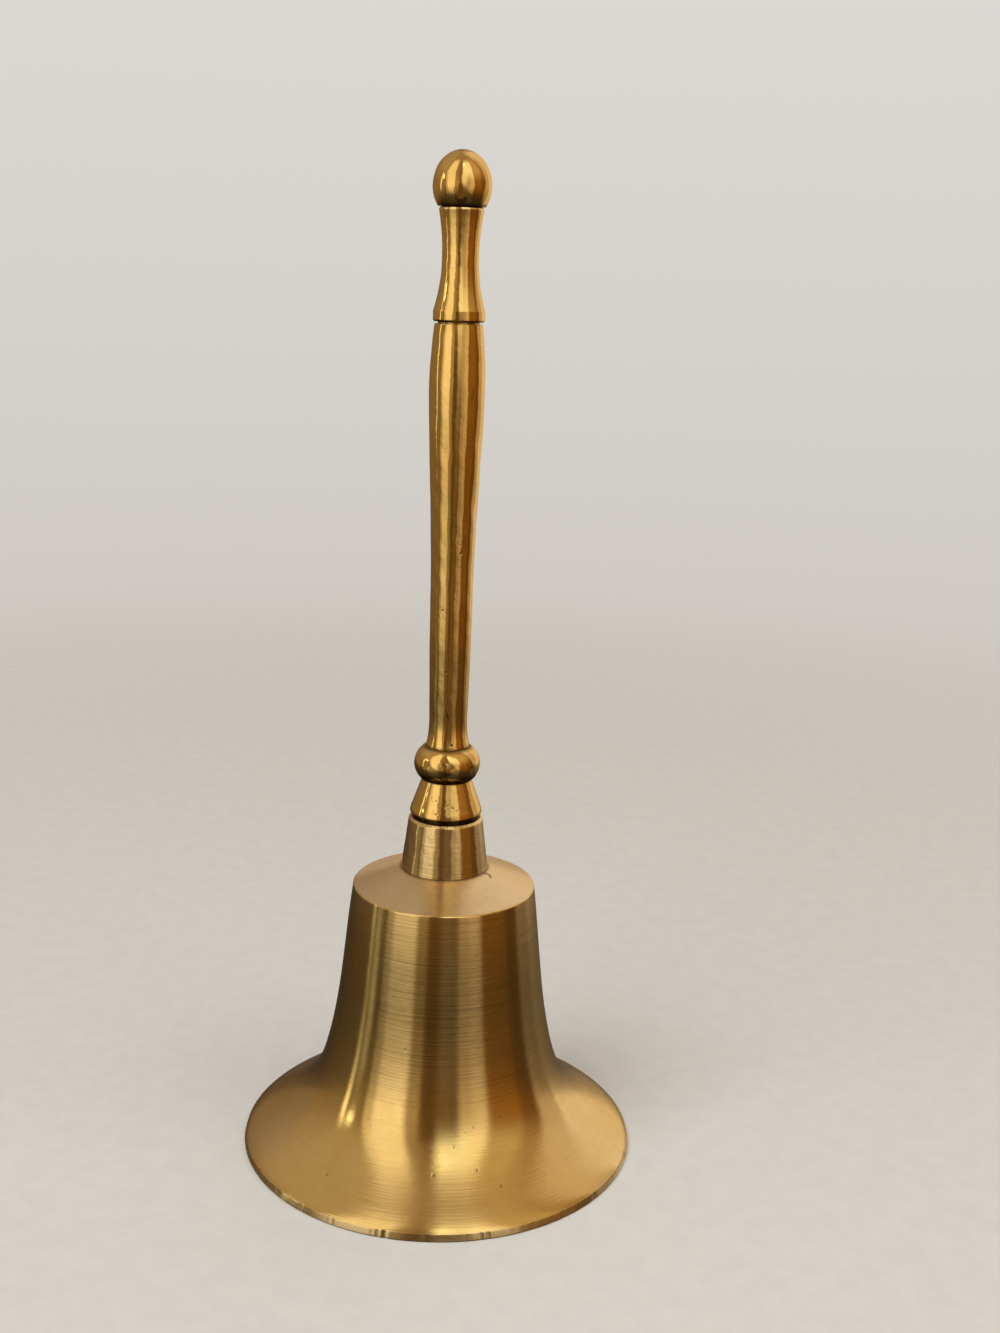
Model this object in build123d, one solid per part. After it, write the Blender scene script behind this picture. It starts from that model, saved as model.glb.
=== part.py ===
from build123d import *
import os
from math import cos, radians, sin

# Brass hand bell: a turned cup with a tapered collar, a long turned handle drawn up on a
# tie rod, and a clapper that hangs from an eye under the crown by a single ring.
# Millimetres. +Z up, origin on the axis in the plane of the mouth, where the bell stands.

# Cup
mouth_radius = 31.6
lip_band_height = 1.25          # square-cut edge of the mouth
lip_bevel = 0.15
wall_thickness = 1.5
crown_rim_radius = 14.4
crown_rim_height = 43.8
crown_bevel = 0.15
crown_seat_radius = 6.9         # the crown rises as a shallow cone to this flat seat
crown_seat_height = 46.6
crown_thickness = 2.2
flare_start = (31.5, lip_band_height)
flare_points = [(26.0, 5.0), (20.75, 10.0), (18.3, 16.0), (16.7, 24.0)]
wall_top = (crown_rim_radius, crown_rim_height - crown_bevel)
flare_start_angle = 146         # direction of the wall at the lip, from the +X radius
wall_top_angle = 97.5           # direction of the wall at the crown rim
wall_samples = 9                # points that carry the inner surface
inner_wall_share = 0.9          # share of the wall's length before it rounds into the ceiling
ceiling_cone_width = 1.5

# Collar
collar_base_radius = 6.85
collar_top_radius = 5.82
collar_top_height = 55.0
collar_bevel = 0.35

# Handle: outer radius and height along each turned piece
register_radius = 5.2           # recessed step that leaves the dark gap under the neck
neck_base_height = 55.85
neck_points = [(5.64, neck_base_height), (5.55, 56.45), (4.75, 58.7), (3.85, 61.2)]
bead_bottom = (4.0, 61.2)
bead_middle = (5.15, 63.9)
bead_top = (3.6, 66.5)
grip_base = (3.42, 66.5)
grip_points = [(3.05, 68.6), (2.98, 72.0), (3.18, 82.0), (3.28, 94.0), (3.65, 106.0), (4.05, 116.0),
               (4.16, 122.0), (3.9, 127.5)]
grip_top = (3.58, 130.65)
groove_radius = 3.1             # root of the groove between the grip and the waist
groove_height = 0.3
waist_band_radius = 3.84
waist_band_height = 1.5
waist_corner = 0.2
waist_points = [(3.42, 134.0), (2.98, 136.2), (2.7, 140.5), (2.95, 144.4)]
waist_top = (3.34, 146.9)
waist_top_bevel = 0.25
finial_radius = 4.3
finial_half_height = 5.0
finial_centre_height = 150.0

# Tie rod and the hardware under the crown
rod_radius = 1.5
rod_clearance = 0.1
thread_gap = 0.02               # between a thread and the nut or hole it runs in
rod_bottom = 39.7
rod_top = 151.0
finial_hole_top = 151.4
washer_radius = 4.5
washer_thickness = 0.6
nut_across_flats = 5.5
nut_height = 2.4
nut_corner_bevel = 0.3
boss_radius = 2.6
boss_height = 3.0
boss_bevel = 0.3
boss_hole_depth = 1.9
eye_ring_radius = 2.35          # mean radius of the hanging eye
eye_wire_radius = 0.75
eye_drop = 1.85                 # from the boss down to the middle of the eye

# Clapper
hang_gap = 0.05                 # running clearance between two wires that hang on each other
link_ring_radius = 2.2
link_wire_radius = 0.55
shank_eye_radius = 1.75
shank_eye_wire = 0.6
shank_radius = 0.8
ball_radius = 5.0
ball_height = 9.2
ball_flat = 0.35                # flats turned on the ball where the shank enters and leaves
rivet_radius = 1.35
rivet_height = 0.6
rivet_crown = (0.6, 0.75)        # a point on the rivet's dome, as shares of its radius and height


def turned(*lines):
    """The solid turned about Z from a closed outline: x is the radius, y is the height."""
    outline = make_face(Curve() + list(lines))
    return revolve(Plane.XZ * outline, Axis.Z)


def point_beside(line, position, distance):
    """A point at a distance to the left of a line, at a position from 0 to 1 along it."""
    place = line @ position
    along = line % position
    return (place.X - along.Y * distance, place.Y + along.X * distance)


def bore(radius, bottom, top):
    """A plug that cuts a round hole on the axis."""
    return Pos(0, 0, bottom) * Cylinder(radius, top - bottom, align=(Align.CENTER, Align.CENTER, Align.MIN))


def handle_bore():
    """The clearance hole for the tie rod, long enough to pass through any piece of the handle."""
    return bore(rod_radius + rod_clearance, 0, finial_centre_height)


def heading(angle):
    """A unit direction in the outline plane."""
    return (cos(radians(angle)), sin(radians(angle)))


def bell_cup():
    """The cup: a flared wall of even thickness under a shallow conical crown."""
    outer = Spline(flare_start, *flare_points, wall_top,
                   tangents=[heading(flare_start_angle), heading(wall_top_angle)])
    ceiling = crown_seat_height - crown_thickness
    crown_slope = (crown_seat_height - crown_rim_height) / (crown_rim_radius - crown_seat_radius)
    places = [inner_wall_share * step / (wall_samples - 1) for step in range(wall_samples)]
    inner_points = [point_beside(outer, place, wall_thickness) for place in places]
    inner_wall = Spline(*inner_points)
    lip_run = heading(flare_start_angle)
    mouth = (inner_points[0][0] - inner_points[0][1] * lip_run[0] / lip_run[1], 0)
    cone_foot = (crown_seat_radius + ceiling_cone_width, ceiling - ceiling_cone_width * crown_slope)
    wall_end = inner_wall % 1
    shoulder = Spline(inner_points[-1], cone_foot, tangents=[(wall_end.X, wall_end.Y), (-1, crown_slope)])
    bore_radius = rod_radius + rod_clearance
    return turned(
        Line(mouth, (mouth_radius - lip_bevel, 0)),
        Line((mouth_radius - lip_bevel, 0), (mouth_radius, lip_bevel)),
        Line((mouth_radius, lip_bevel), (mouth_radius, lip_band_height - lip_bevel)),
        Line((mouth_radius, lip_band_height - lip_bevel), flare_start),
        outer,
        Line(wall_top, (crown_rim_radius - crown_bevel, crown_rim_height)),
        Line((crown_rim_radius - crown_bevel, crown_rim_height), (crown_seat_radius, crown_seat_height)),
        Line((crown_seat_radius, crown_seat_height), (bore_radius, crown_seat_height)),
        Line((bore_radius, crown_seat_height), (bore_radius, ceiling)),
        Line((bore_radius, ceiling), (crown_seat_radius, ceiling)),
        Line((crown_seat_radius, ceiling), cone_foot),
        shoulder,
        inner_wall,
        Line(inner_points[0], mouth),
    )


def crown_collar():
    """The tapered collar that stands on the crown."""
    body = turned(
        Polyline((0, crown_seat_height), (collar_base_radius, crown_seat_height),
                 (collar_top_radius, collar_top_height - collar_bevel),
                 (collar_top_radius - collar_bevel, collar_top_height), (0, collar_top_height), close=True)
    )
    return body - handle_bore()


def neck_cone():
    """The cone at the foot of the handle, standing on a narrower step."""
    side = Spline(*neck_points[1:])
    top_radius, top_height = neck_points[-1]
    body = turned(
        Polyline((0, top_height), (0, collar_top_height), (register_radius, collar_top_height),
                 (register_radius, neck_base_height), neck_points[0], neck_points[1]),
        side,
        Line((top_radius, top_height), (0, top_height)),
    )
    return body - handle_bore()


def bead_ring():
    """The round bead between the neck and the grip."""
    body = turned(
        Line((0, bead_bottom[1]), bead_bottom),
        ThreePointArc(bead_bottom, bead_middle, bead_top),
        Line(bead_top, (0, bead_top[1])),
        Line((0, bead_top[1]), (0, bead_bottom[1])),
    )
    return body - handle_bore()


def handle_grip():
    """The long grip, thin above the bead and swelling towards the top, with the groove's root on its end."""
    groove_top = grip_top[1] + groove_height
    body = turned(
        Line((0, grip_base[1]), grip_base),
        Spline(grip_base, *grip_points, grip_top),
        Polyline(grip_top, (groove_radius, grip_top[1]), (groove_radius, groove_top), (0, groove_top),
                 (0, grip_base[1])),
    )
    return body - handle_bore()


def handle_waist():
    """The waisted length under the finial, with a flat band at its foot and a bevel at its top."""
    foot = grip_top[1] + groove_height
    band_top = foot + waist_band_height
    head = waist_top[1] + waist_top_bevel
    body = turned(
        Polyline((0, foot), (waist_band_radius - waist_corner, foot), (waist_band_radius, foot + waist_corner),
                 (waist_band_radius, band_top)),
        Spline((waist_band_radius, band_top), *waist_points, waist_top),
        Polyline(waist_top, (waist_top[0] - waist_top_bevel, head), (0, head), (0, foot)),
    )
    return body - handle_bore()


def finial_ball():
    """The slightly egg-shaped ball that screws down on the tie rod and closes the handle."""
    foot = waist_top[1] + waist_top_bevel
    oval = Plane.XZ * (Pos(0, finial_centre_height) * Ellipse(finial_radius, finial_half_height))
    half = oval & Plane.XZ * (Pos(finial_radius, foot + finial_radius * 2)
                              * Rectangle(finial_radius * 2, finial_radius * 4))
    body = revolve(half, Axis.Z)
    return body - bore(rod_radius + thread_gap, 0, finial_hole_top)


def tie_rod():
    """The threaded rod that draws the handle, collar and cup together."""
    return bore(rod_radius, rod_bottom, rod_top)


def washer_bottom():
    """Height of the washer's lower face under the crown."""
    return crown_seat_height - crown_thickness - washer_thickness


def crown_washer():
    """The washer under the crown."""
    top = washer_bottom() + washer_thickness
    return bore(washer_radius, washer_bottom(), top) - handle_bore()


def crown_nut():
    """The hexagon nut that clamps the cup to the handle, with bevelled corners."""
    bottom = washer_bottom() - nut_height
    prism = extrude(Pos(0, 0, bottom) * RegularPolygon(nut_across_flats / 2, 6, major_radius=False), nut_height)
    corner = nut_across_flats / 2 / cos(radians(30))
    blank = turned(
        Polyline((0, bottom), (corner - nut_corner_bevel, bottom), (corner, bottom + nut_corner_bevel),
                 (corner, bottom + nut_height), (0, bottom + nut_height), close=True)
    )
    return (prism & blank) - bore(rod_radius + thread_gap, bottom, washer_bottom())


def eye_height():
    """Height of the middle of the hanging eye."""
    return washer_bottom() - nut_height - boss_height - eye_drop


def hanger_eye():
    """The eye that the clapper hangs from: a round boss on the rod's end with a ring below it."""
    top = washer_bottom() - nut_height
    bottom = top - boss_height
    boss = turned(
        Polyline((0, bottom), (boss_radius - boss_bevel, bottom), (boss_radius, bottom + boss_bevel),
                 (boss_radius, top), (0, top), close=True)
    )
    ring = Pos(0, 0, eye_height()) * Rot(0, 90, 0) * Torus(eye_ring_radius, eye_wire_radius)
    return boss + ring - bore(rod_radius + thread_gap, top - boss_hole_depth, top)


def swing_axis_height():
    """Height of the wire that the ring turns on: the lower wire of the hanging eye."""
    return eye_height() - eye_ring_radius


def link_height():
    """Height of the middle of the ring."""
    return swing_axis_height() + eye_wire_radius + hang_gap + link_wire_radius - link_ring_radius


def clapper_ring():
    """The ring that links the clapper to the eye, square to both of them."""
    return Pos(0, 0, link_height()) * Rot(90, 0, 0) * Torus(link_ring_radius, link_wire_radius)


def sway_axis_height():
    """Height of the wire that the clapper turns on: the lower wire of the ring."""
    return link_height() - link_ring_radius


def clapper_shank():
    """The clapper's rod, with an eye at its top and a riveted head under the ball."""
    eye_middle = sway_axis_height() + link_wire_radius + hang_gap + shank_eye_wire - shank_eye_radius
    eye = Pos(0, 0, eye_middle) * Rot(0, 90, 0) * Torus(shank_eye_radius, shank_eye_wire)
    ball_bottom = ball_height - ball_radius + ball_flat
    rod = bore(shank_radius, ball_bottom, eye_middle - shank_eye_radius)
    rivet = turned(
        Line((0, ball_bottom), (0, ball_bottom - rivet_height)),
        ThreePointArc((0, ball_bottom - rivet_height),
                      (rivet_radius * rivet_crown[0], ball_bottom - rivet_height * rivet_crown[1]),
                      (rivet_radius, ball_bottom)),
        Line((rivet_radius, ball_bottom), (0, ball_bottom)),
    )
    return eye + rod + rivet


def clapper_ball():
    """The striking ball, drilled for the shank, with a small flat at each end of the hole."""
    half = ball_radius - ball_flat
    slab = Pos(0, 0, ball_height) * Box(ball_radius * 3, ball_radius * 3, half * 2)
    ball = Pos(0, 0, ball_height) * Sphere(ball_radius)
    return (ball & slab) - bore(shank_radius + thread_gap, 0, ball_height * 2)


PIECES = [
    bell_cup, crown_collar, neck_cone, bead_ring, handle_grip, handle_waist, finial_ball, tie_rod,
    crown_washer, crown_nut, hanger_eye, clapper_ring, clapper_shank, clapper_ball,
]

os.makedirs("parts", exist_ok=True)
for piece in PIECES:
    export_step(piece(), f"parts/{piece.__name__}.step")
print(f"swing axis {swing_axis_height():.3f}  sway axis {sway_axis_height():.3f}")
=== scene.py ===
import math

import bpy
import numpy as np
from mathutils import Matrix, Vector


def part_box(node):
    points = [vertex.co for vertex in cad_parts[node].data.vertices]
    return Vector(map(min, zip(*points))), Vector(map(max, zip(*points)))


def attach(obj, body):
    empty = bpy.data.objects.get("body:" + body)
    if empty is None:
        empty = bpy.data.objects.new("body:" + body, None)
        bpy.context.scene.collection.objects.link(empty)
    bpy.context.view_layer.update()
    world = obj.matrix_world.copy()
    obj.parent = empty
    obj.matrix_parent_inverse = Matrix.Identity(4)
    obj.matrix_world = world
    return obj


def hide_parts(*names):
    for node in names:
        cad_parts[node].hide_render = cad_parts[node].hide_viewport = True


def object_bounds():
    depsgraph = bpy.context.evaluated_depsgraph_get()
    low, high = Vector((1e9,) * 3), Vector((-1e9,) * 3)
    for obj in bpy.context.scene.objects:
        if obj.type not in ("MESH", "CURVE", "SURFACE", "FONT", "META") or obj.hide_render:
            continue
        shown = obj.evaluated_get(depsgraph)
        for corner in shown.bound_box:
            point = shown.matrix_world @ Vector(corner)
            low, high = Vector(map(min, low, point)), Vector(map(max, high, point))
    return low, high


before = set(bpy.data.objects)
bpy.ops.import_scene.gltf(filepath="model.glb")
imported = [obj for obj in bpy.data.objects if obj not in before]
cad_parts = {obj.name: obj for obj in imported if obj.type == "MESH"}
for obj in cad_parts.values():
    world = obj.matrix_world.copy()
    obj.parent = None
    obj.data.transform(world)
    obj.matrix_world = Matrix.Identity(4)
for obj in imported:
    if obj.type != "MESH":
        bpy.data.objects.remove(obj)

cad_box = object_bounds()

# Looks of the turned brass hand bell. Each turned piece is spun here from the outline that its CAD node
# carries in the XZ plane, with a finer mesh, rounded edges, tool marks, pits and nicks.
# The script works in metres; MM turns a length in millimetres into metres.

MM = 0.001
SEED = 7

# Camera: where the viewer stands, in the bell's frame.
CAMERA_DISTANCE = 230.3 * MM
CAMERA_HEIGHT = 134.75 * MM
CAMERA_PITCH = math.radians(13.53)      # downwards
CAMERA_YAW = math.radians(1.93)         # towards +X
CAMERA_ROLL = math.radians(1.98)
CAMERA_LENS = 41.5                      # millimetres, on a 36 mm sensor

CORNER_ANGLE = math.radians(14)         # a sharper turn than this in an outline is an edge
CORNER_STEPS = 3                        # pieces that a rounded edge is made of
EDGE_RADIUS = 0.1 * MM
LONG_STRETCH = 1.6                      # a stretch this much longer than its shortest neighbour is divided
TOP, BOTTOM = 1, 0


# ---------------------------------------------------------------- outlines

def seam_points(node):
    """The outline of a turned CAD node: its points in the XZ half plane, in order, as (radius, height) rows,
    and whether the outline is closed. An open one has both ends on the axis."""
    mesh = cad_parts[node].data
    places = np.array([v.co for v in mesh.vertices], float)
    keys = [tuple(np.round(p * 1e7).astype(int)) for p in places]
    on_seam = {k: p for k, p in zip(keys, places) if abs(p[1]) < 3e-7 and p[0] > -1e-7}
    links = {k: set() for k in on_seam}
    for edge in mesh.edges:
        a, b = (keys[i] for i in edge.vertices)
        if a != b and a in links and b in links:
            links[a].add(b)
            links[b].add(a)
    ends = sorted((k for k in links if len(links[k]) == 1), key=lambda k: k[2])
    closed = not ends
    here = ends[0] if ends else max(links, key=lambda k: (k[0], k[2]))
    order = [here]
    seen = {here}
    while True:
        onward = sorted(k for k in links[here] if k not in seen)
        if not onward:
            break
        here = onward[-1]
        seen.add(here)
        order.append(here)
    points = np.array([[on_seam[k][0], on_seam[k][2]] for k in order])
    if closed:
        ring = np.vstack([points, points[:1]])
        area = np.sum(ring[:-1, 0] * ring[1:, 1] - ring[1:, 0] * ring[:-1, 1])
        if area < 0:
            points = points[::-1]
    return points, closed


def turn_at(before, here, after):
    """How far the outline turns at a point."""
    a, b = here - before, after - here
    return abs(math.atan2(a[0] * b[1] - a[1] * b[0], a @ b))


def smooth_run(points, step):
    """A smooth run resampled at about the step, by a natural spline through its points."""
    if len(points) < 3:
        count = max(2, int(math.ceil(np.linalg.norm(points[-1] - points[0]) / step)) + 1)
        return points[0] + np.linspace(0, 1, count)[:, None] * (points[-1] - points[0])
    along = np.concatenate([[0], np.cumsum(np.linalg.norm(np.diff(points, axis=0), axis=1))])
    gap = np.diff(along)
    size = len(points)
    system = np.zeros((size, size))
    right = np.zeros((size, 2))
    system[0, 0] = system[-1, -1] = 1
    for i in range(1, size - 1):
        system[i, i - 1], system[i, i], system[i, i + 1] = gap[i - 1], 2 * (gap[i - 1] + gap[i]), gap[i]
        right[i] = 6 * ((points[i + 1] - points[i]) / gap[i] - (points[i] - points[i - 1]) / gap[i - 1])
    system[0, 1] = system[-1, -2] = -1
    bend = np.linalg.solve(system, right)
    at = np.linspace(0, along[-1], max(2, int(math.ceil(along[-1] / step)) + 1))
    i = np.clip(np.searchsorted(along, at, side="right") - 1, 0, size - 2)
    h = gap[i][:, None]
    left, rest = (along[i + 1] - at)[:, None], (at - along[i])[:, None]
    return ((bend[i] * left ** 3 + bend[i + 1] * rest ** 3) / (6 * h)
            + (points[i] / h - bend[i] * h / 6) * left + (points[i + 1] / h - bend[i + 1] * h / 6) * rest)


def even_run(points):
    """The run with its long straight stretches divided, so that a spline through it doesn't bulge there."""
    gaps = np.linalg.norm(np.diff(points, axis=0), axis=1)
    out = [points[0]]
    for i, gap in enumerate(gaps):
        shortest = min(gaps[max(i - 1, 0):i + 2])
        count = int(math.ceil(gap / shortest)) if gap > LONG_STRETCH * shortest else 1
        for j in range(1, count + 1):
            out.append(points[i] + (points[i + 1] - points[i]) * j / count)
    return np.array(out)


def round_corner(before, corner, after):
    """Points that round a corner, reaching back along each side by the edge radius."""
    a, b = before - corner, after - corner
    reach = min(EDGE_RADIUS, 0.4 * np.linalg.norm(a), 0.4 * np.linalg.norm(b))
    start = corner + a / np.linalg.norm(a) * reach
    end = corner + b / np.linalg.norm(b) * reach
    t = np.linspace(0, 1, CORNER_STEPS + 1)[:, None]
    return (1 - t) ** 2 * start + 2 * t * (1 - t) * corner + t ** 2 * end


def fine_outline(node, step):
    """The node's outline with smooth runs resampled and edges rounded."""
    points, closed = seam_points(node)
    count = len(points)
    index = range(count) if closed else range(1, count - 1)
    corners = [i for i in index
               if turn_at(points[i - 1], points[i], points[(i + 1) % count]) > CORNER_ANGLE]
    if closed:
        stops = corners + [corners[0] + count]
    else:
        stops = [0] + corners + [count - 1]
    runs = [smooth_run(even_run(points[np.arange(a, b + 1) % count]), step)
            for a, b in zip(stops, stops[1:])]
    out = [] if closed else [runs[0][0]]
    for number, run in enumerate(runs):
        out += list(run[1:-1])
        if number == len(runs) - 1 and not closed:
            out.append(run[-1])
        else:
            following = runs[(number + 1) % len(runs)]
            out += list(round_corner(run[-2] if len(run) > 2 else run[0], run[-1],
                                     following[1] if len(following) > 2 else following[-1]))
    return np.array(out), closed


# ---------------------------------------------------------------- turned pieces

def wrap(angle):
    """An angle brought into -pi to pi."""
    return (angle + math.pi) % (2 * math.pi) - math.pi


def waves(rng, height, angle, size, shortest, longest, around=5, count=16):
    """An uneven hand-buffed surface: a sum of waves with random direction and length, as a change of
    radius. Its root mean square is about 0.7 of the size."""
    total = np.zeros(np.broadcast(height, angle).shape)
    for _ in range(count):
        length = rng.uniform(shortest, longest)
        total = total + np.sin(rng.integers(0, around + 1) * angle + 2 * math.pi * height / length
                               + rng.uniform(0, 2 * math.pi))
    return total * size / math.sqrt(count)


def hollows(radius, height, angle, spots):
    """Depth of small round hollows. A spot is (height, angle, size, depth)."""
    depth = np.zeros(radius.shape)
    for spot_height, spot_angle, size, deep in spots:
        across = radius * wrap(angle - spot_angle)
        far = (across ** 2 + (height - spot_height) ** 2) / size ** 2
        depth += deep * np.exp(-far * far)
    return depth


def scatter(rng, count, low, high, size, depth):
    """Random small pits between two heights."""
    return [(rng.uniform(low, high), rng.uniform(-math.pi, math.pi),
             size * rng.uniform(0.6, 1.3), depth * rng.uniform(0.5, 1.2)) for _ in range(count)]


def facing(degrees):
    """The angle round the axis of a place that many degrees to the right of the viewer's side."""
    return math.radians(degrees) - math.pi / 2


def new_mesh(name, places, faces):
    """An object from points and faces, smooth shaded."""
    mesh = bpy.data.meshes.new(name)
    mesh.from_pydata(places, [], faces)
    mesh.shade_smooth()
    mesh.update()
    piece = bpy.data.objects.new(name, mesh)
    bpy.context.scene.collection.objects.link(piece)
    return piece


def spin(name, outline, closed, segments, shape):
    """A mesh turned about the bell's axis from a (radius, height) outline.
    shape(radius, height, angle) returns the finished radius and height and the named marks of every point."""
    angle = np.arange(segments) * 2 * math.pi / segments
    radius = np.repeat(outline[:, :1], segments, axis=1)
    height = np.repeat(outline[:, 1:], segments, axis=1)
    angle = np.repeat(angle[None, :], len(outline), axis=0)
    radius, height, marks = shape(radius, height, angle)
    places = np.stack([radius * np.cos(angle), radius * np.sin(angle), height], -1)
    rows = len(outline)
    tips = [] if closed else [0, rows - 1]
    body = [i for i in range(rows) if i not in tips]
    index = -np.ones((rows, segments), int)
    index[body] = np.arange(len(body) * segments).reshape(len(body), segments)
    points = places[body].reshape(-1, 3)
    values = {key: value[body].ravel() for key, value in marks.items()}
    for tip in tips:
        index[tip] = len(points)
        points = np.vstack([points, [[0, 0, outline[tip, 1]]]])
        values = {key: np.append(value, marks[key][tip, 0]) for key, value in values.items()}
    faces = []
    after = np.roll(np.arange(segments), -1)
    for i in range(rows if closed else rows - 1):
        j = (i + 1) % rows
        quad = np.stack([index[i], index[i, after], index[j, after], index[j]], -1)
        if i in tips:
            quad = quad[:, [0, 2, 3]]
        elif j in tips:
            quad = quad[:, [0, 1, 2]]
        faces += quad.tolist()
    piece = new_mesh(name, points.tolist(), faces)
    for key, value in values.items():
        layer = piece.data.attributes.new(key, "FLOAT", "POINT")
        layer.data.foreach_set("value", value.astype(np.float32))
    return piece


def near_edge(height, edges, reach):
    """1 at the given heights, fading to 0 within the reach: where tarnish, painted shade and polish gather.
    """
    mark = np.zeros(height.shape)
    for edge in edges:
        mark = np.maximum(mark, np.exp(-((height - edge) / reach) ** 2))
    return mark


def stand_in(piece, node, body):
    """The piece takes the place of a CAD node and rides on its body."""
    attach(piece, body)
    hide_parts(node)
    return piece


# ---------------------------------------------------------------- materials

class Nodes:
    """A small helper that adds shader nodes and links them."""

    def __init__(self, name, world=False):
        if world:
            self.owner = bpy.data.worlds.new(name)
        else:
            self.owner = bpy.data.materials.new(name)
        self.owner.use_nodes = True
        self.tree = self.owner.node_tree
        self.tree.nodes.clear()

    def add(self, kind, inputs=None, **settings):
        node = self.tree.nodes.new(kind)
        for key, value in settings.items():
            setattr(node, key, value)
        for key, value in (inputs or {}).items():
            if isinstance(value, bpy.types.NodeSocket):
                self.tree.links.new(value, node.inputs[key])
            else:
                node.inputs[key].default_value = value
        return node

    def math(self, operation, *values, clamp=False):
        inputs = dict(enumerate(values))
        return self.add("ShaderNodeMath", inputs, operation=operation, use_clamp=clamp).outputs[0]

    def range(self, value, low, high, to_low, to_high, smooth=True):
        node = self.add("ShaderNodeMapRange", {"Value": value, "From Min": low, "From Max": high,
                                               "To Min": to_low, "To Max": to_high})
        node.interpolation_type = "SMOOTHSTEP" if smooth else "LINEAR"
        return node.outputs["Result"]

    def mix(self, factor, first, second):
        node = self.add("ShaderNodeMix", data_type="RGBA")
        for key, value in ((0, factor), (6, first), (7, second)):
            if isinstance(value, bpy.types.NodeSocket):
                self.tree.links.new(value, node.inputs[key])
            else:
                node.inputs[key].default_value = value
        return node.outputs[2]

    def noise(self, place, scale, detail, roughness):
        return self.add("ShaderNodeTexNoise", {"Vector": place, "Scale": scale, "Detail": detail,
                                               "Roughness": roughness}).outputs["Fac"]

    def scaled(self, place, scale):
        return self.add("ShaderNodeMapping", {"Vector": place, "Scale": scale}).outputs[0]

    def mark(self, name):
        return self.add("ShaderNodeAttribute", attribute_name=name).outputs["Fac"]


def rgb(red, green, blue):
    return (red, green, blue, 1.0)


BRASS = rgb(0.84, 0.60, 0.25)
BRASS_PALE = rgb(0.88, 0.65, 0.30)
BRASS_DEEP = rgb(0.74, 0.49, 0.18)
BRASS_RICH = rgb(0.84, 0.56, 0.19)
BRASS_RICH_PALE = rgb(0.88, 0.61, 0.23)
EDGE_TINT = rgb(0.90, 0.78, 0.60)
# The dull colour of tarnish, and of the painted shade at joints.
TARNISH_AND_SHADE = rgb(0.17, 0.105, 0.035)
# Near black: pits and specks, and the painted shadow in the joint at a piece's foot.
PIT_AND_SHADOW = rgb(0.05, 0.03, 0.012)
# The colour of satin-finished brass; on a worn bevel it also serves as a painted highlight.
SATIN = rgb(0.88, 0.71, 0.44)
RING_SHADE = rgb(0.50, 0.33, 0.12)

SCRATCH_HEIGHT, RING_HEIGHT, SPECK_HEIGHT = 0.02, 0.04, 0.06    # bump distances, in millimetres
RING_DRIFT = 0.045                      # how much a turning line changes round the piece, per millimetre
DIRT_ROUGHNESS = 0.25                   # what full dirt adds to the roughness
MATTE_ROUGHNESS = 0.16                  # what a full matte mark adds to the roughness


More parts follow.
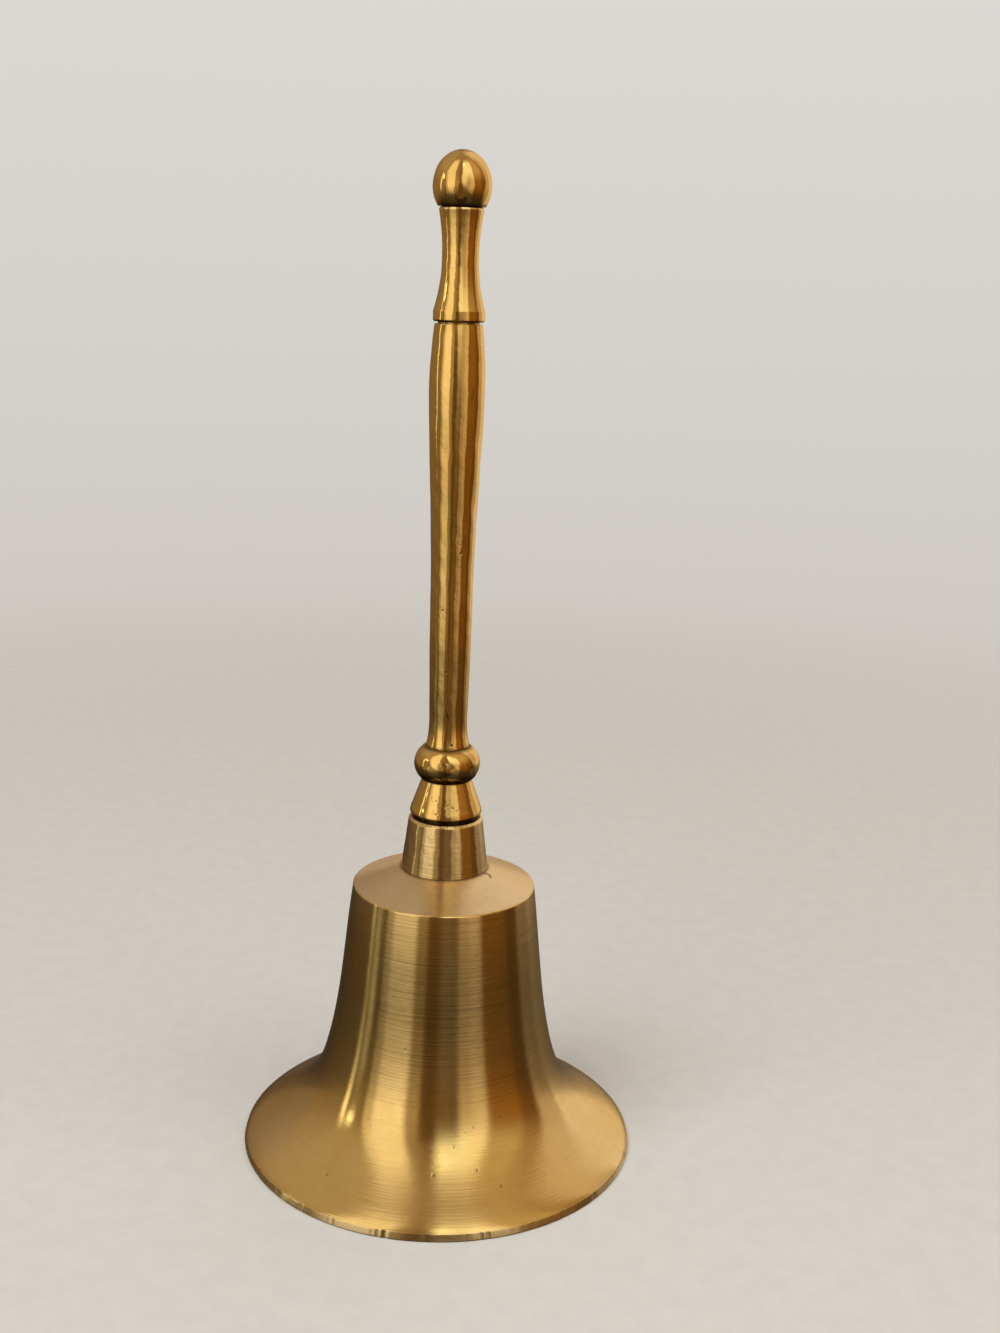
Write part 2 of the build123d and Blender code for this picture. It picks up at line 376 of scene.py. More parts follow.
def metal(name, pale, deep, roughness, patch_size, scratch_depth, speck_depth, scratch_stretch=(1, 1, 1),
          line_pitch=0.0, line_depth=0.0, anisotropy=0.0, dull=TARNISH_AND_SHADE):
    """Worked metal: colour patches, tarnish and painted shade from the piece's marks, turning lines,
    scratches and specks.
    Sizes are millimetres; roughness is its (low, high) range; depths are bump strengths."""
    n = Nodes(name)
    place = n.add("ShaderNodeTexCoord").outputs["Object"]
    mm = n.scaled(place, (1000, 1000, 1000))
    patches = n.noise(mm, 1 / patch_size, 5, 0.6)
    fine = n.noise(mm, 2.5, 3, 0.6)
    colour = n.mix(n.range(patches, 0.36, 0.64, 0, 1), pale, deep)
    # Satin-finished parts turn paler; on a worn bevel the paler colour is a painted highlight.
    colour = n.mix(n.mark("pale"), colour, SATIN)
    if line_depth:
        across, deep_in, up = n.add("ShaderNodeSeparateXYZ", {"Vector": mm}).outputs
        away = n.math("SQRT", n.math("ADD", n.math("MULTIPLY", across, across),
                                     n.math("MULTIPLY", deep_in, deep_in)))
        along = n.math("DIVIDE", n.math("SUBTRACT", up, away), line_pitch)
        turned = n.add("ShaderNodeCombineXYZ", {"X": n.math("MULTIPLY", across, RING_DRIFT),
                                                "Y": n.math("MULTIPLY", deep_in, RING_DRIFT), "Z": along})
        rings = n.noise(turned.outputs[0], 1.0, 4, 0.66)
        shade = n.math("MULTIPLY", n.range(rings, 0.28, 0.52, 0.40, 0), n.mark("lines"))
        colour = n.mix(shade, colour, RING_SHADE)
    grime_and_shade = n.mark("grime_and_shade")
    specks = n.add("ShaderNodeTexVoronoi", {"Vector": mm, "Scale": 0.42, "Randomness": 1.0},
                   feature="F1").outputs["Distance"]
    speck = n.range(specks, 0.03, 0.075, 1, 0)
    # Tarnish at the marks, with painted shade at the joints, dulls and darkens the colour.
    dirt_and_shade = n.math("MULTIPLY", grime_and_shade, n.range(fine, 0.25, 0.6, 0.55, 1.0), clamp=True)
    colour = n.mix(dirt_and_shade, colour, dull)
    # Pits, specks and the painted joint shadow turn the colour near black.
    dark = n.math("MAXIMUM", n.mark("pit"), n.math("MULTIPLY", speck, speck_depth), clamp=True)
    colour = n.mix(dark, colour, PIT_AND_SHADOW)
    low, high = roughness
    rough = n.range(n.noise(mm, 0.45, 5, 0.65), 0.3, 0.7, low, high)
    rough = n.math("ADD", rough, n.math("MULTIPLY", dirt_and_shade, DIRT_ROUGHNESS), clamp=True)
    rough = n.math("ADD", rough, n.math("MULTIPLY", n.mark("matte"), MATTE_ROUGHNESS), clamp=True)
    scratches = n.noise(n.scaled(mm, scratch_stretch), 3.0, 6, 0.7)
    layers = [(scratches, scratch_depth, SCRATCH_HEIGHT)]
    if line_depth:
        layers.append((rings, line_depth, RING_HEIGHT))
    layers.append((n.math("SUBTRACT", 1.0, speck), speck_depth, SPECK_HEIGHT))
    below = {}
    for value, strength, distance in layers:
        bump = n.add("ShaderNodeBump", {"Height": value, "Strength": strength, "Distance": distance * MM,
                                        **below})
        below = {"Normal": bump.outputs["Normal"]}
    inputs = {"Base Color": colour, "Metallic": 1.0, "Roughness": rough, "Anisotropic": anisotropy,
              "Specular Tint": EDGE_TINT, **below}
    if anisotropy:
        inputs["Anisotropic Rotation"] = 0.25
        inputs["Tangent"] = n.add("ShaderNodeTangent", direction_type="RADIAL", axis="Z").outputs[0]
    shader = n.add("ShaderNodeBsdfPrincipled", inputs)
    n.add("ShaderNodeOutputMaterial", {"Surface": shader.outputs[0]})
    return n.owner


POLISHED = metal("polished_brass", BRASS_RICH_PALE, BRASS_RICH, (0.05, 0.10), patch_size=7,
                 scratch_depth=0.04, scratch_stretch=(2.2, 2.2, 0.5), speck_depth=0.2)
TURNED = metal("turned_brass", BRASS_PALE, BRASS, (0.10, 0.15), patch_size=9, line_pitch=0.38,
               line_depth=0.4, scratch_depth=0.2, speck_depth=0.2, anisotropy=0.97)
HARDWARE = metal("plain_brass", BRASS, BRASS_DEEP, (0.25, 0.4), patch_size=2, scratch_depth=0.3,
                 speck_depth=0.3)
STRUCK = metal("struck_brass", BRASS, BRASS_DEEP, (0.2, 0.34), patch_size=3, scratch_depth=0.35,
               speck_depth=0.5)
STEEL = metal("drawn_steel", rgb(0.56, 0.55, 0.52), rgb(0.36, 0.34, 0.31), (0.25, 0.4), patch_size=1.5,
              scratch_depth=0.3, scratch_stretch=(2, 2, 0.3), speck_depth=0.3, dull=rgb(0.13, 0.085, 0.05))


# ---------------------------------------------------------------- the bell's pieces

PIT_DARK = 0.045 * MM                   # a hollow this deep is as dark as a pit gets
RIPPLE = 0.0014                         # how deep the finest buffing ripples are, in millimetres
RIPPLE_LENGTHS = (0.7, 1.8)             # shortest and longest of them, in millimetres
BORE_LIMIT = 2.2 * MM                   # a turned piece's outside is farther from the axis than this
CHIP_WAVES = {"shortest": 5 * MM, "longest": 9 * MM, "around": 60, "count": 30}     # along an edge


def pit(height, degrees, size=0.12, depth=0.05):
    """A small pit at a height in millimetres and so many degrees to the right of the viewer's side."""
    return (height * MM, facing(degrees), size * MM, depth * MM)


def cluster(rng, height, degrees, tall, wide, count, size=0.11, depth=0.03):
    """A rough patch: small pits strewn about a place, over a height in millimetres and a width in degrees."""
    return [pit(height + rng.normal(0, tall), degrees + rng.normal(0, wide),
                size * rng.uniform(0.6, 1.4), depth * rng.uniform(0.4, 1.3)) for _ in range(count)]


def top_of(node):
    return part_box(node)[TOP].z


def foot_of(node):
    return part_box(node)[BOTTOM].z


def buffed(node, seed, unevenness, shortest, longest, spots, chipped_top=0.0, grime_and_shade=(0.3, 0.3),
           dark_foot=0.0, dark_fade=0.12, bevel=(0.5, 0.0), matte=0.0, pale=0.0):
    """The finish of a hand-buffed piece: lumps, ripples, pits, tarnish with painted shade at both joints, a
    painted shadow in the gap at its foot, and a chipped top edge.
    grime_and_shade is its reach at the foot and at the top; dark_foot is how high the painted shadow at the
    foot reaches and dark_fade how softly it ends; bevel is how tall and how deep the worn top edge is, which
    is also painted paler as a highlight;
    matte and pale are its marks all over. Lengths are in millimetres."""
    low, high = foot_of(node), top_of(node)
    girth = 2 * math.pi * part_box(node)[TOP].x / MM

    def shape(radius, height, angle):
        rng = np.random.default_rng(seed)
        sunk = hollows(radius, height, angle, spots(rng))
        lumps = waves(rng, height, angle, unevenness * MM, shortest * MM, longest * MM, int(girth / shortest))
        finest, widest = RIPPLE_LENGTHS
        ripples = waves(rng, height, angle, RIPPLE * MM, finest * MM, widest * MM, int(girth / finest),
                        count=24)
        outside = radius > BORE_LIMIT
        top_edge = near_edge(height, [high], 0.25 * MM) * outside
        chips = np.maximum(waves(rng, height * 0, angle, chipped_top * MM, **CHIP_WAVES), 0)
        # A painted shadow in the gap at the piece's foot: black up to dark_foot, fading out above it.
        joint = np.clip((low + dark_foot * MM - height) / (dark_fade * MM) + 1, 0, 1) * (dark_foot > 0)
        # The worn bevel at the top edge; its paler colour is a painted highlight.
        worn = np.clip((height - high) / (bevel[0] * MM) + 1, 0, 1) * (bevel[1] > 0) * outside
        marks = {
            # Tarnish and painted shade at the foot joint and at the top joint.
            "grime_and_shade": np.maximum(near_edge(height, [low], grime_and_shade[0] * MM),
                                near_edge(height, [high], grime_and_shade[1] * MM)),
            # pit: dark pits, and the painted shadow in the joint at the foot.
            "pit": np.maximum(np.clip(0.8 * sunk / PIT_DARK, 0, 1), 0.9 * joint),
            "matte": np.full(radius.shape, matte),
            # pale: paler all over by the given amount, and a painted highlight on the worn bevel.
            "pale": np.maximum(pale, 0.8 * (worn > 0)),
            "lines": np.ones(radius.shape),
        }
        change = np.minimum(lumps + ripples - (unevenness + RIPPLE) * MM, 0) - sunk - top_edge * chips
        change = change - worn * bevel[1] * MM
        return radius + np.where(outside, change, 0), height, marks
    return shape


def turned_piece(node, material, step, segments, shape, body="bell"):
    """The finished piece for a turned node. The step along its outline is in millimetres."""
    outline, closed = fine_outline(node, step * MM)
    piece = spin(node + "_finish", outline, closed, segments, shape)
    piece.data.materials.append(material)
    return stand_in(piece, node, body)


# Nicks along the lip: (degrees to the right of the viewer's side, width, depth in millimetres).
LIP_NICKS = [(-40, 0.2, 0.09), (-29, 0.17, 0.08), (-15.5, 0.17, 0.1), (-13.5, 0.2, 0.14), (12.5, 0.17, 0.1),
             (14.5, 0.17, 0.12), (-62, 0.2, 0.1), (38, 0.2, 0.08), (75, 0.25, 0.12), (118, 0.2, 0.12),
             (163, 0.3, 0.12), (-150, 0.2, 0.1), (-104, 0.2, 0.1)]
# Pits on the cup: (height in millimetres, degrees to the right of the viewer's side).
CUP_PITS = [(22.7, -18), (11.5, 16), (9.3, 7), (12.3, 29), (14.3, 72), (4.4, -38), (6.4, -1), (6.7, 15),
            (4.9, 22)]
CUT_LINES = [34.2, 33.1, 26.6, 26.0, 25.4, 24.9, 24.3, 23.7, 22.9, 21.7]     # heights, in millimetres
CUT_DEPTH = 0.003 * MM
LIP_BAND = 1.25 * MM                    # height of the lip's square-cut edge
LIP_LEAN = 0.36 * MM                    # how far the lip's top edge leans in
LIP_INSET = 0.012 * MM                  # keeps the lip's foot just inside the CAD box
CROWN_NICK = (46.35 * MM, facing(62))   # height and angle of the curled nick
CURL_RADIUS, CURL_WIDTH, CURL_DEPTH = 0.55 * MM, 0.14 * MM, 0.12 * MM
CUP_STEP = 0.2 * MM
CUP_SEGMENTS = 720


def cup_shape(radius, height, angle):
    """The cup's finish: a leaning, nicked and filed lip, tool lines, pits, a chipped crown rim, a curled nick
    on the crown, and chatter marks inside."""
    rng = np.random.default_rng(SEED)
    low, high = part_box("bell_cup")
    inside = INNER_ROWS[:, None] * np.ones(radius.shape)
    outside = 1 - inside
    above = height - low.z
    wall = outside * (height < CUP_RIM[1]) * (above > LIP_BAND)
    spots = [pit(z, degrees, 0.12, 0.035) for z, degrees in CUP_PITS]
    spots += scatter(rng, 30, 3 * MM, 42 * MM, 0.1 * MM, 0.02 * MM)
    sunk = hollows(radius, height, angle, spots)
    line = sum(np.exp(-((height - z * MM) / (0.1 * MM)) ** 2) for z in CUT_LINES)
    uneven = np.minimum(waves(rng, height, angle, 0.012 * MM, 6 * MM, 30 * MM, around=4), 0)
    chatter = np.maximum(waves(rng, height, angle, 0.02 * MM, 1.2 * MM, 3 * MM, around=2), 0)
    lean = LIP_LEAN * np.where(above < LIP_BAND, np.abs(above / LIP_BAND) ** 1.2,
                               np.exp(-(above - LIP_BAND) / (0.6 * MM)))
    lean = lean + LIP_INSET * np.exp(-(above / LIP_BAND) ** 2)
    band = outside * np.clip((LIP_BAND - above) / (0.25 * MM), 0, 1) * (radius > high.x - 1.2 * MM)
    near_lip = outside * (above < 6 * MM)
    nick = np.zeros(radius.shape)
    for degrees, width, deep in LIP_NICKS:
        across = radius * wrap(angle - facing(degrees)) / (width * MM)
        nick = nick + deep * MM * np.exp(-across ** 2)
    filed = np.maximum(waves(rng, height * 0, angle, 0.02 * MM, 5 * MM, 9 * MM, around=150, count=40), 0)
    rim = np.exp(-((radius - CUP_RIM[0]) ** 2 + (height - CUP_RIM[1]) ** 2) / (0.22 * MM) ** 2)
    chips = np.maximum(waves(rng, height * 0, angle, 0.025 * MM, **CHIP_WAVES), 0)
    new_radius = radius + outside * (above > LIP_BAND) * uneven - wall * (sunk + line * CUT_DEPTH)
    new_radius = new_radius + inside * chatter * (height < 40 * MM) * (above > 1 * MM)
    new_radius = new_radius - near_lip * lean - band * (nick + filed) - rim * chips
    crown = outside * (height >= CUP_RIM[1] - 0.02 * MM)
    away = wrap(angle - CROWN_NICK[1])
    far = np.hypot(radius * away - 0.1 * MM, (height - CROWN_NICK[0]) * 2.6)
    curl = np.exp(-((far - CURL_RADIUS) / CURL_WIDTH) ** 2) * (away > 0)
    new_height = height - crown * curl * CURL_DEPTH
    marks = {
        # Darker inside, round the collar's seat on the crown, along the cut lines and in the lip's nicks.
        "grime_and_shade": np.clip(inside * 0.5 + near_edge(radius, [6.9 * MM], 0.3 * MM) * crown * 0.6
                         + wall * line * 0.22 + band * nick / (0.3 * MM), 0, 1),
        "pit": np.clip(wall * sunk / PIT_DARK + crown * curl, 0, 1),
        "matte": np.clip(crown * 0.9 + inside * 0.8 + band * 0.9, 0, 1),
        "pale": np.clip(crown * 0.85 + band * 0.8 + inside * 0.2, 0, 1),
        "lines": np.where(crown + inside > 0, 0.25, 0.3 + 0.7 * np.clip((above - 10 * MM) / (12 * MM), 0, 1)),
    }
    return new_radius, new_height, marks


def cup_rows():
    """The cup's outline, its crown rim, and a mark on the rows that face inwards or under the crown."""
    outline, closed = fine_outline("bell_cup", CUP_STEP)
    seat = int(np.argmax(outline[:, 1] - outline[:, 0] * 0.01))     # the top of the crown's bore
    start = int(np.argmin(outline[:, 1] * 10 - outline[:, 0]))      # the lip's outer bottom corner
    count = len(outline)
    inner = np.zeros(count)
    keep = np.ones(count, bool)
    i = seat
    while i != start:
        inner[i] = 1
        keep[i] = i % 2 == 0 or outline[i, 1] < 2 * MM
        i = (i + 1) % count
    outline, inner = outline[keep], inner[keep]
    rim = max(outline, key=lambda point: point[1] + 0.4 * point[0] if point[1] > 40 * MM else -1)
    return outline, closed, rim, inner


outline, closed, CUP_RIM, INNER_ROWS = cup_rows()
bell_cup = spin("bell_cup_finish", outline, closed, CUP_SEGMENTS, cup_shape)
bell_cup.data.materials.append(TURNED)
stand_in(bell_cup, "bell_cup", "bell")

turned_piece("crown_collar", TURNED, 0.15, 256,
             buffed("crown_collar", SEED + 1, 0.006, 2, 8,
                    lambda rng: scatter(rng, 8, 47.5 * MM, 54 * MM, 0.09 * MM, 0.03 * MM), chipped_top=0.06,
                    grime_and_shade=(0.15, 0.03), matte=0.05, pale=0.45))
turned_piece("neck_cone", POLISHED, 0.1, 256,
             buffed("neck_cone", SEED + 2, 0.004, 1.5, 7,
                    lambda rng: cluster(rng, 58.8, -28, 0.25, 4, 5) + cluster(rng, 57.0, -16, 0.4, 5, 9)
                    + cluster(rng, 57.6, 9, 0.5, 6, 9) + cluster(rng, 58.5, 150, 0.8, 20, 10)
                    + scatter(rng, 12, 56.6 * MM, 60.5 * MM, 0.08 * MM, 0.025 * MM),
                    grime_and_shade=(0.3, 0.15), dark_foot=0.82))
turned_piece("bead_ring", POLISHED, 0.1, 256,
             buffed("bead_ring", SEED + 3, 0.022, 1.5, 5,
                    lambda rng: cluster(rng, 64.6, -4, 0.4, 5, 6, 0.12, 0.02)
                    + scatter(rng, 14, 61.8 * MM, 66 * MM, 0.09 * MM, 0.03 * MM),
                    grime_and_shade=(1.0, 0.25), dark_foot=0.9, dark_fade=0.7))
turned_piece("handle_grip", POLISHED, 0.12, 224,
             buffed("handle_grip", SEED + 4, 0.014, 3, 14,
                    lambda rng: [pit(67.3, 10, 0.16, 0.08), pit(78.8, -10), pit(88.4, -24),
                                 pit(97.2, 22, 0.13), pit(103, 0, 0.1), pit(127.5, 55, 0.14, 0.04)]
                    + [pit(121.4 - 0.3 * i, 34 + 1.5 * math.sin(i), 0.2, 0.02) for i in range(6)]
                    + [pit(119 - 0.75 * i, 34 + 2 * math.sin(2 * i), 0.08, 0.03) for i in range(11)]
                    + cluster(rng, 97.5, 12, 1.6, 8, 16, 0.1, 0.02)
                    + scatter(rng, 30, 68 * MM, 130 * MM, 0.08 * MM, 0.03 * MM)))
turned_piece("handle_waist", POLISHED, 0.1, 224,
             buffed("handle_waist", SEED + 5, 0.007, 2, 9,
                    lambda rng: scatter(rng, 14, 132 * MM, 146 * MM, 0.08 * MM, 0.025 * MM), chipped_top=0.03,
                    grime_and_shade=(0.25, 0.03), bevel=(0.5, 0.24)))
turned_piece("finial_ball", POLISHED, 0.1, 224,
             buffed("finial_ball", SEED + 6, 0.014, 2, 7,
                    lambda rng: scatter(rng, 12, 148 * MM, 154 * MM, 0.08 * MM, 0.025 * MM)))

# The clapper ball is dented and flattened on the two sides that strike the cup.
turned_piece("clapper_ball", STRUCK, 0.12, 224,
             buffed("clapper_ball", SEED + 7, 0.01, 1.5, 6,
                    lambda rng: [pit(9.4 + rng.normal(0, 0.5), side + rng.normal(0, 5), rng.uniform(0.3, 0.8),
                                     rng.uniform(0.01, 0.03)) for side in (90, -90) for _ in range(7)]
                    + scatter(rng, 20, 5.5 * MM, 13 * MM, 0.12 * MM, 0.04 * MM)), body="clapper")

for node, material in (("tie_rod", STEEL), ("crown_washer", HARDWARE), ("crown_nut", HARDWARE),
                       ("hanger_eye", HARDWARE), ("clapper_ring", STEEL), ("clapper_shank", STEEL)):
    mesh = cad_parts[node].data
    mesh.materials.clear()
    mesh.materials.append(material)


# ---------------------------------------------------------------- floor, light and camera

# Soft light all round, in strips that stand in for the room that the bell reflects. Their edges and colours
# follow what the metal reflects in the photograph, so this light is coloured and isn't a plain studio's. So
# do the ceiling, the lamps and the dark card. The camera sees a plain backdrop in their place.
# A strip is (azimuth where it ends, in degrees to the right of the viewer's side, colour at eye level, colour
# higher up). They follow one another from -180 to 180.
STRIPS = [
    (-165, (0.52, 0.44, 0.40), (0.42, 0.33, 0.28)),
    (-128, (0.26, 0.20, 0.16), (0.42, 0.34, 0.28)),
    (-90, (0.28, 0.20, 0.12), (0.45, 0.36, 0.24)),
    (-74, (0.28, 0.22, 0.12), (0.46, 0.36, 0.22)),
    (-69, (0.24, 0.18, 0.09), (0.38, 0.28, 0.15)),
    (-60, (0.66, 0.55, 0.36), (1.00, 0.88, 0.66)),
    (-30, (1.14, 1.01, 0.76), (1.08, 0.94, 0.68)),
    (-16, (0.44, 0.33, 0.18), (0.36, 0.25, 0.14)),
    (-1, (0.32, 0.20, 0.09), (0.26, 0.17, 0.09)),
    (18, (0.85, 0.78, 0.60), (1.16, 1.16, 0.90)),
    (31, (0.53, 0.40, 0.26), (1.20, 1.14, 0.88)),
    (46, (0.70, 0.55, 0.37), (1.20, 1.06, 0.78)),
    (80, (0.28, 0.125, 0.022), (0.58, 0.43, 0.22)),
    (99, (0.18, 0.085, 0.022), (0.42, 0.27, 0.13)),
    (122, (0.55, 0.43, 0.32), (0.68, 0.54, 0.38)),
    (168, (0.86, 0.75, 0.66), (0.82, 0.70, 0.60)),
    (180, (0.66, 0.56, 0.50), (0.55, 0.45, 0.38)),
]
STRIP_EDGE = 1.5                        # half the width of the blend between two strips, in degrees
BACKDROP_LOW, BACKDROP_HIGH = (0.60, 0.568, 0.52), (0.74, 0.72, 0.69)
CEILING = (0.37, 0.26, 0.165)
LOW = (0.045, 0.026, 0.009)
# Small bright lamps: (azimuth, elevation, half width, half height in degrees, colour)
LAMPS = [
    (-82, 17, 3.5, 5, (2.2, 2.1, 1.5)),
    (-90, 8, 2.2, 17, (1.5, 1.35, 0.9)),
    (6, 60, 6, 6, (1.8, 1.65, 1.2)),
]


def strip_ramp(n, azimuth, which):
    """The strips' colours as a colour ramp round the azimuth, each held flat and blended at its edges."""
    ramp = n.add("ShaderNodeValToRGB", {"Fac": n.range(azimuth, -180, 180, 0, 1, smooth=False)})
    stops = ramp.color_ramp
    stops.interpolation = "LINEAR"
    placed = []
    for (edge, *pair), (_, *following) in zip(STRIPS, STRIPS[1:]):
        placed += [(edge - STRIP_EDGE, pair[which]), (edge + STRIP_EDGE, following[which])]
    while len(stops.elements) > 1:
        stops.elements.remove(stops.elements[0])
    stops.elements[0].position = (placed[0][0] + 180) / 360
    stops.elements[0].color = rgb(*placed[0][1])
    for degrees, colour in placed[1:]:
        stops.elements.new((degrees + 180) / 360).color = rgb(*colour)
    return ramp.outputs["Color"]


def soft_studio():
    """The world: soft strips all round at eye level, lamps, a ceiling, a dark lower half, and the plain pale
    backdrop that the camera sees."""
    n = Nodes("soft_studio", world=True)
    direction = n.add("ShaderNodeTexCoord").outputs["Generated"]
    x, y, z = n.add("ShaderNodeSeparateXYZ", {"Vector": direction}).outputs
    azimuth = n.math("MULTIPLY", n.math("ARCTAN2", x, n.math("MULTIPLY", y, -1.0)), 180 / math.pi)
    elevation = n.math("MULTIPLY", n.math("ARCSINE", z), 180 / math.pi)
    colour = n.mix(n.range(elevation, 4, 42, 0, 1), strip_ramp(n, azimuth, 0), strip_ramp(n, azimuth, 1))
    colour = n.mix(n.range(elevation, 60, 82, 0, 1), colour, rgb(*CEILING))
    for lamp_azimuth, lamp_elevation, wide, tall, tint in LAMPS:
        across = n.math("DIVIDE", n.math("SUBTRACT", azimuth, float(lamp_azimuth)), float(wide))
        along = n.math("DIVIDE", n.math("SUBTRACT", elevation, float(lamp_elevation)), float(tall))
        far = n.math("ADD", n.math("POWER", n.math("ABSOLUTE", across), 3.0),
                     n.math("POWER", n.math("ABSOLUTE", along), 3.0))
        colour = n.mix(n.range(far, 0.6, 1.4, 1, 0), colour, rgb(*tint))
    wall = n.range(n.math("ABSOLUTE", n.math("SUBTRACT", azimuth, 145.0)), 18, 40, 1, 0)
    lowest = n.range(wall, 0, 1, -33, -56, smooth=False)
    lit = n.range(elevation, lowest, 4, 0, 1)
    colour = n.mix(lit, rgb(*LOW), colour)
    backdrop = n.mix(n.range(z, -0.30, 0.30, 0, 1, smooth=False), rgb(*BACKDROP_LOW), rgb(*BACKDROP_HIGH))
    seen = n.add("ShaderNodeLightPath").outputs["Is Camera Ray"]
    n.add("ShaderNodeOutputWorld", {"Surface": n.add(
        "ShaderNodeBackground", {"Color": n.mix(seen, colour, backdrop), "Strength": 1.0}).outputs[0]})
    bpy.context.scene.world = n.owner


# A dark card on the viewer's side, thinner on its right half, a dark table top round the bell, and a pale
# mat under its mouth that brightens the inside. Only reflections see them. The card's top and sides fade
# out, and so does the table's rim.
CARD_DISTANCE = 215 * MM
CARD_LEFT, CARD_MIDDLE, CARD_RIGHT = -18, -1, 20     # in degrees to the right of the viewer's side
CARD_TOP = 200 * MM
CARD_COLOUR = (0.16, 0.090, 0.034)
TABLE_COLOUR = (0.012, 0.011, 0.010)
TABLE_START, TABLE_FULL, TABLE_END = 33 * MM, 110 * MM, 430 * MM
MAT_COLOUR = (0.62, 0.57, 0.50)
MAT_RADIUS = 30 * MM


def ease(value, start, end):
    """0 up to the start and 1 from the end on, smooth between them. The end may be below the start."""
    t = min(max((value - start) / (end - start), 0), 1)
    return t * t * (3 - 2 * t)


def unseen_card(name, places, faces, cover, colour, roughness=None):
    """A staged card that only reflections see. It glows faintly by itself, or is a gloss surface."""
    n = Nodes(name)
    grain = n.noise(n.add("ShaderNodeTexCoord").outputs["Object"], 40.0, 3, 0.5)
    tone = n.mix(n.range(grain, 0.3, 0.7, 0, 1), rgb(*colour), rgb(*(0.75 * c for c in colour)))
    if roughness is None:
        surface = n.add("ShaderNodeEmission", {"Color": tone, "Strength": 1.0})
    else:
        surface = n.add("ShaderNodeBsdfPrincipled", {"Base Color": tone, "Roughness": roughness})
    clear = n.add("ShaderNodeBsdfTransparent")
    shown = n.add("ShaderNodeMixShader", {0: n.mark("cover"), 1: clear.outputs[0], 2: surface.outputs[0]})
    n.add("ShaderNodeOutputMaterial", {"Surface": shown.outputs[0]})
    card = new_mesh(name, places, faces)
    layer = card.data.attributes.new("cover", "FLOAT", "POINT")
    layer.data.foreach_set("value", cover)
    card.data.materials.append(n.owner)
    card.visible_camera = card.visible_diffuse = card.visible_shadow = card.visible_transmission = False


def grid_faces(rows, columns, loop=False):
    """The quads of a grid of points that is stored row by row."""
    last = columns if loop else columns - 1
    return [(i * columns + j, i * columns + (j + 1) % columns, (i + 1) * columns + (j + 1) % columns,
             (i + 1) * columns + j) for i in range(rows - 1) for j in range(last)]


def reflected_cards():
    """The dark card, the table top and the mat."""
    rows, columns = 25, 39
    places, cover = [], []
    for i in range(rows):
        height = CARD_TOP * i / (rows - 1)
        for j in range(columns):
            degrees = CARD_LEFT + (CARD_RIGHT - CARD_LEFT) * j / (columns - 1)
            angle = facing(degrees)
            places.append((CARD_DISTANCE * math.cos(angle), CARD_DISTANCE * math.sin(angle), height))
            right = ease(degrees, CARD_MIDDLE - 1, CARD_MIDDLE + 1)
            sides = ease(degrees, CARD_LEFT, CARD_LEFT + 3) * ease(degrees, CARD_RIGHT, CARD_RIGHT - 3)
            thin = 1 - right * (0.03 + 0.37 * ease(height, 50 * MM, 150 * MM))
            cover.append(sides * thin * ease(height, CARD_TOP, CARD_TOP * (0.66 - 0.06 * right)))
    unseen_card("dark_card", places, grid_faces(rows, columns), cover, CARD_COLOUR)
    level = foot_of("bell_cup") - 0.01 * MM
    ring = [facing(degrees) for degrees in range(0, 360, 6)]

    def discs(*radii):
        return [(r * math.cos(a), r * math.sin(a), level) for r in radii for a in ring]

    cover = [1.0] * (2 * len(ring)) + [0.0] * len(ring)
    unseen_card("dark_table", discs(TABLE_START, TABLE_FULL, TABLE_END), grid_faces(3, len(ring), loop=True),
                cover, TABLE_COLOUR, 0.2)
    unseen_card("pale_mat", discs(1 * MM, MAT_RADIUS), grid_faces(2, len(ring), loop=True),
                [1.0] * (2 * len(ring)), MAT_COLOUR)


FLOOR_FULL, FLOOR_END = 0.12, 0.55      # how far from the axis the floor is whole, and where it has faded
FLOOR_SIZE = 4.0
FLOOR_DARK, FLOOR_PALE = (0.58, 0.62, 0.68), (0.61, 0.65, 0.71)


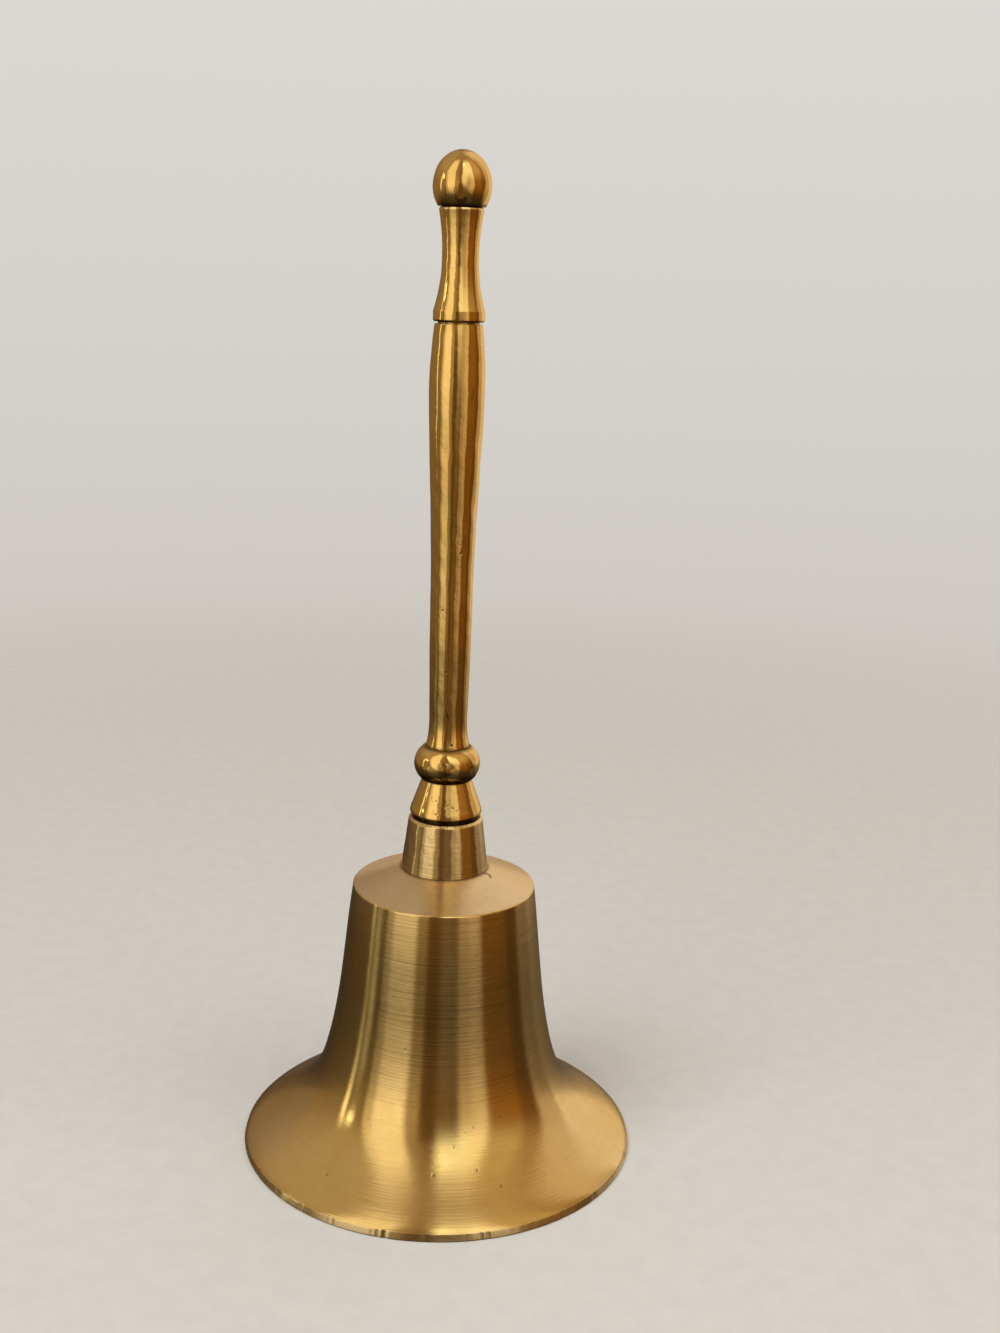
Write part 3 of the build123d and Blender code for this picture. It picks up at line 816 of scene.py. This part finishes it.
def floor():
    """A plain pale floor that fades into the backdrop. From below it is clear, so that the bell's inside
    can be seen."""
    n = Nodes("pale_floor")
    place = n.add("ShaderNodeTexCoord").outputs["Object"]
    grain = n.noise(place, 260.0, 4, 0.6)
    tone = n.mix(n.range(grain, 0.3, 0.7, 0, 1), rgb(*FLOOR_DARK), rgb(*FLOOR_PALE))
    surface = n.add("ShaderNodeBsdfPrincipled", {"Base Color": tone, "Roughness": 0.7})
    clear = n.add("ShaderNodeBsdfTransparent")
    back = n.add("ShaderNodeNewGeometry").outputs["Backfacing"]
    reach = n.add("ShaderNodeVectorMath", {0: place}, operation="LENGTH").outputs["Value"]
    gone = n.math("MAXIMUM", back, n.range(reach, FLOOR_FULL, FLOOR_END, 0, 1))
    shown = n.add("ShaderNodeMixShader", {0: gone, 1: surface.outputs[0], 2: clear.outputs[0]})
    n.add("ShaderNodeOutputMaterial", {"Surface": shown.outputs[0]})
    size = FLOOR_SIZE
    plane = new_mesh("floor", [(-size, -size, 0), (size, -size, 0), (size, size, 0), (-size, size, 0)],
                     [(0, 1, 2, 3)])
    plane.location.z = cad_box[BOTTOM].z - 0.02 * MM
    plane.data.materials.append(n.owner)
    plane.visible_glossy = False


def softbox(name, place, size, power, colour):
    """A large soft lamp that points at the middle of the bell."""
    lamp = bpy.data.lights.new(name, "AREA")
    lamp.shape = "RECTANGLE"
    lamp.size, lamp.size_y = size
    lamp.energy = power
    lamp.color = colour
    holder = bpy.data.objects.new(name, lamp)
    holder.location = place
    aim = (cad_box[BOTTOM] + cad_box[TOP]) / 2 - Vector(place)
    holder.rotation_euler = aim.to_track_quat("-Z", "Y").to_euler()
    holder.visible_camera = False
    holder.visible_glossy = False
    bpy.context.scene.collection.objects.link(holder)


def camera():
    """The viewer's camera, built from its place, pitch, yaw and roll."""
    data = bpy.data.cameras.new("camera")
    data.lens = CAMERA_LENS
    data.sensor_width = 36
    data.clip_start = 0.01
    ahead = Vector((math.sin(CAMERA_YAW) * math.cos(CAMERA_PITCH),
                    math.cos(CAMERA_YAW) * math.cos(CAMERA_PITCH), -math.sin(CAMERA_PITCH)))
    level = Vector((math.cos(CAMERA_YAW), -math.sin(CAMERA_YAW), 0))
    upright = level.cross(ahead)
    right = math.cos(CAMERA_ROLL) * level + math.sin(CAMERA_ROLL) * upright
    up = right.cross(ahead)
    turn = Matrix((right, up, -ahead)).transposed().to_4x4()
    holder = bpy.data.objects.new("camera", data)
    holder.matrix_world = Matrix.Translation((0, -CAMERA_DISTANCE, CAMERA_HEIGHT)) @ turn
    bpy.context.scene.collection.objects.link(holder)
    bpy.context.scene.camera = holder


soft_studio()
reflected_cards()
floor()
softbox("key", (-0.35, -0.35, 0.75), (0.5, 0.5), 4.0, (1.0, 0.95, 0.88))
softbox("fill", (0.6, -0.3, 0.5), (0.6, 0.6), 2.0, (1.0, 0.93, 0.84))
camera()
bpy.context.scene.view_settings.view_transform = "Standard"
